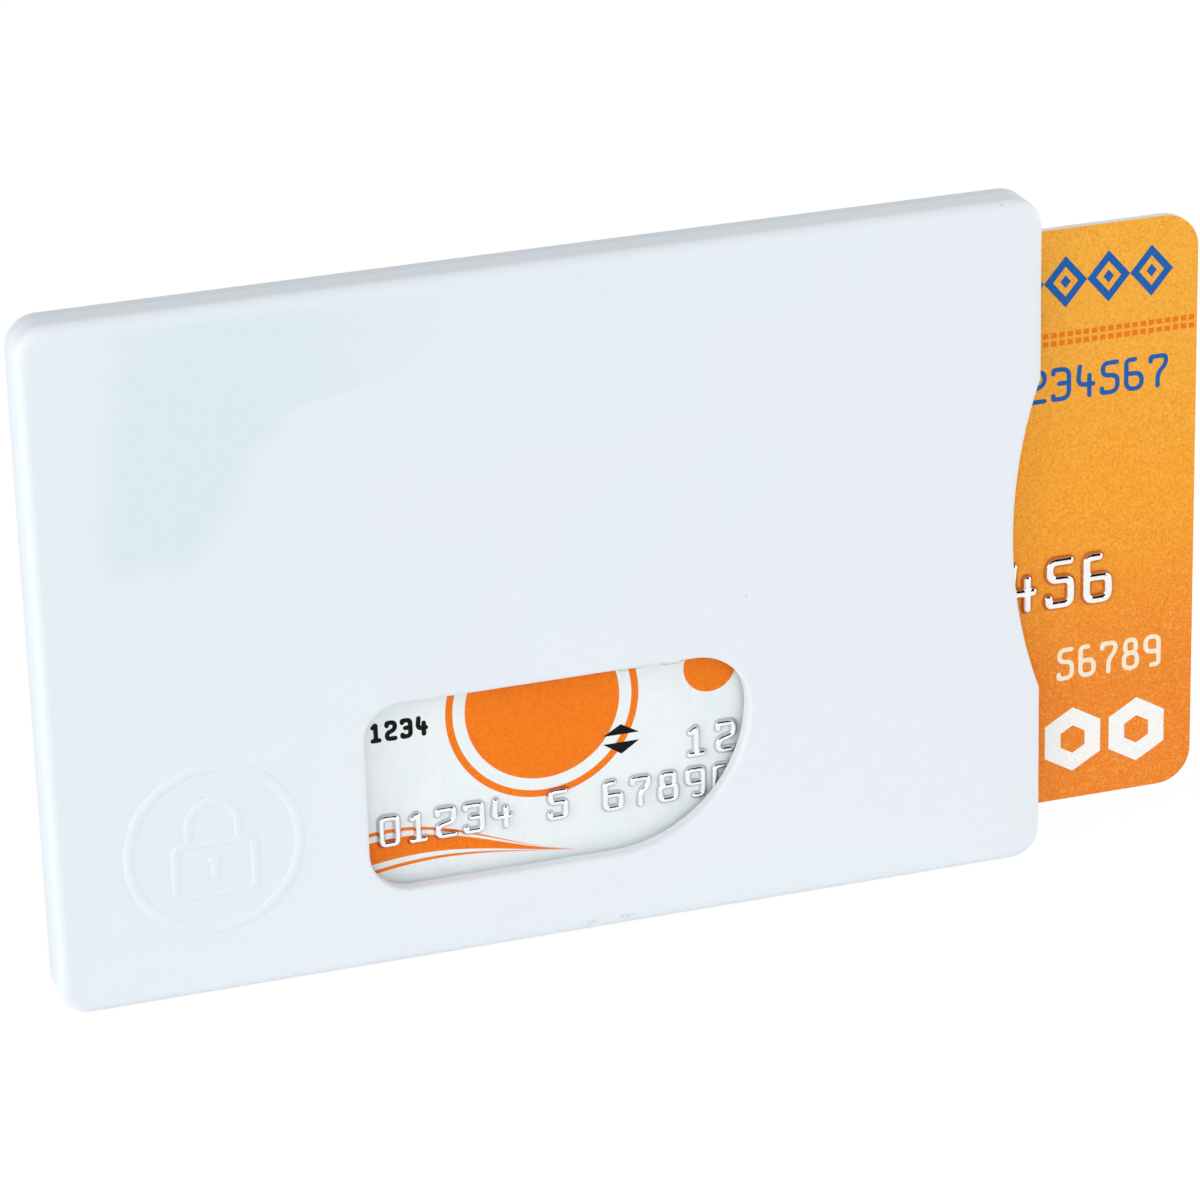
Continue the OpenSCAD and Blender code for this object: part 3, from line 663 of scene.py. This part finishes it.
tree.links.new(lit.outputs[0], both.inputs[1])
tree.links.new((seen(tree) * FLOOR_SHARE).socket, blend.inputs[0])
tree.links.new(both.outputs[0], blend.inputs[1])
tree.links.new(glow.outputs[0], blend.inputs[2])
tree.links.new(blend.outputs[0], tree.nodes["Material Output"].inputs[0])
floor_mesh.materials.append(pale)

# The world lights the scene as a soft dome. Seen or reflected, it is bright up to a low angle and dark above.
world = bpy.data.worlds.new("studio")
bpy.context.scene.world = world
world.use_nodes = True
tree = world.node_tree
sky = tree.nodes["Background"]
way = tree.nodes.new("ShaderNodeTexCoord")
split = tree.nodes.new("ShaderNodeSeparateXYZ")
tree.links.new(way.outputs["Generated"], split.inputs[0])
north, high = (Field(tree, q) for q in split.outputs[1:])
dome = (north * SKY_BACK + high * SKY_UP + SKY_LEVEL).high(SKY_LEAST)
shown = seen(tree)
strength = shown * high.ramp(0.56, 0.16) + (shown * -1 + 1) * dome
tree.links.new(strength.socket, sky.inputs["Strength"])
sky.inputs["Color"].default_value = (1, 1, 1, 1)

# Each lamp is aimed at the sleeve; level 1 alone lights a facing surface as white.
for name, (azimuth, elevation, size, level, in_gloss) in LAMPS.items():
    a, e = math.radians(azimuth), math.radians(elevation)
    way = Vector((math.sin(a) * math.cos(e), -math.cos(a) * math.cos(e), math.sin(e)))
    light = bpy.data.lights.new(name, "AREA")
    light.shape, light.size = "SQUARE", size
    light.energy = level * (math.pi * LAMP_DISTANCE) ** 2
    lamp = bpy.data.objects.new(name, light)
    lamp.location = Vector((0, 0, 0.03)) + way * LAMP_DISTANCE
    lamp.rotation_euler = way.to_track_quat("Z", "Y").to_euler()
    lamp.visible_glossy = in_gloss
    bpy.context.scene.collection.objects.link(lamp)

turn, rise, roll = (math.radians(angle) for angle in (CAMERA_TURN, CAMERA_RISE, CAMERA_ROLL))
back = Vector((math.sin(turn) * math.cos(rise), -math.cos(turn) * math.cos(rise), math.sin(rise)))
right = (-back).cross(Vector((0, 0, 1))).normalized()
up = right.cross(-back)
across = math.cos(roll) * right + math.sin(roll) * up
upright = math.cos(roll) * up - math.sin(roll) * right
lens = bpy.data.cameras.new("camera")
lens.lens, lens.sensor_width, lens.clip_start, lens.clip_end = CAMERA_LENS, CAMERA_SENSOR, 0.01, 50
camera = bpy.data.objects.new("camera", lens)
eye = (Vector(CAMERA_TARGET) + back * CAMERA_DISTANCE) * MM
camera.matrix_world = Matrix.Translation(eye) @ Matrix((across, upright, back)).transposed().to_4x4()
bpy.context.scene.collection.objects.link(camera)
bpy.context.scene.camera = camera
bpy.context.scene.view_settings.view_transform = "Standard"
